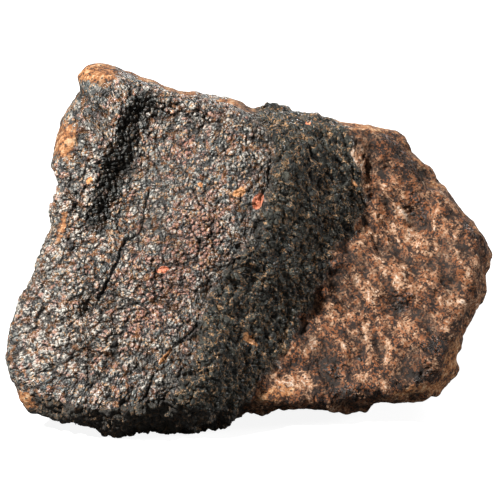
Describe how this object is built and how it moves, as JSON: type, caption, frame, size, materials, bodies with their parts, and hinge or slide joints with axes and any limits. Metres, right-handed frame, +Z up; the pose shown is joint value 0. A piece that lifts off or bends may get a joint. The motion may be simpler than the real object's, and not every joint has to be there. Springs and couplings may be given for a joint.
{
  "type": "meteorite",
  "caption": "Angular stony meteorite with a dark pebbly fusion crust, a steep ridge across the front, thumbprint hollows and a small flat foot to rest on.",
  "frame": {"origin": "middle of the bounding box, on the plane that the stone rests on", "axes": "+X to the right along the stone's longest side as the picture shows it, +Y away from the viewer, +Z up"},
  "size_m": [0.0964, 0.0592, 0.0653],
  "materials": {
    "fusion_crust": "satin"
  },
  "bodies": {
    "root": {"meteorite": "fusion_crust"}
  },
  "joints": []
}
